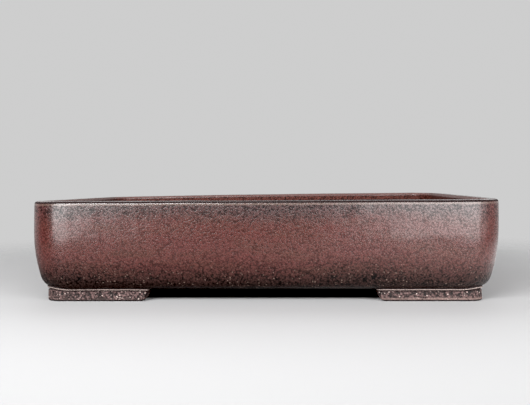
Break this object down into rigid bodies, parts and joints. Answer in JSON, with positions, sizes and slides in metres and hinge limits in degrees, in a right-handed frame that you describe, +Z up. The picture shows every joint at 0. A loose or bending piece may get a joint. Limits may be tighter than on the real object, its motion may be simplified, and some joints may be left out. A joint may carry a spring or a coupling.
{
  "type": "bonsai pot",
  "caption": "Shallow rectangular bonsai pot of unglazed red-brown stoneware, with rounded corners, a softly bellied wall, drain and wire holes and low angled corner feet.",
  "frame": {"origin": "on the ground under the middle of the pot", "axes": "+X along the long side, +Z up, the front long side at -Y"},
  "size_m": [0.45, 0.35, 0.095],
  "materials": {
    "body_clay": "unglazed dark red-brown stoneware, pear-skin grain, semi-matt kiln sheen",
    "rim_clay": "unglazed stoneware, smoothed lip with a grey-brown flash",
    "floor_clay": "unglazed stoneware, dry and matt, wiped inside",
    "coil_clay": "unglazed stoneware, finger-pressed fillet, matt",
    "foot_clay": "unglazed stoneware, coarse speckled grain, worn lower edge"
  },
  "bodies": {
    "root": {"floor_slab": "floor_clay", "wall_front": "body_clay", "wall_right": "body_clay", "wall_back": "body_clay", "wall_left": "body_clay", "rim_front": "rim_clay", "rim_right": "rim_clay", "rim_back": "rim_clay", "rim_left": "rim_clay", "seam_coil_front": "coil_clay", "seam_coil_right": "coil_clay", "seam_coil_back": "coil_clay", "seam_coil_left": "coil_clay", "foot_front_left": "foot_clay", "foot_front_right": "foot_clay", "foot_back_left": "foot_clay", "foot_back_right": "foot_clay"}
  },
  "joints": []
}
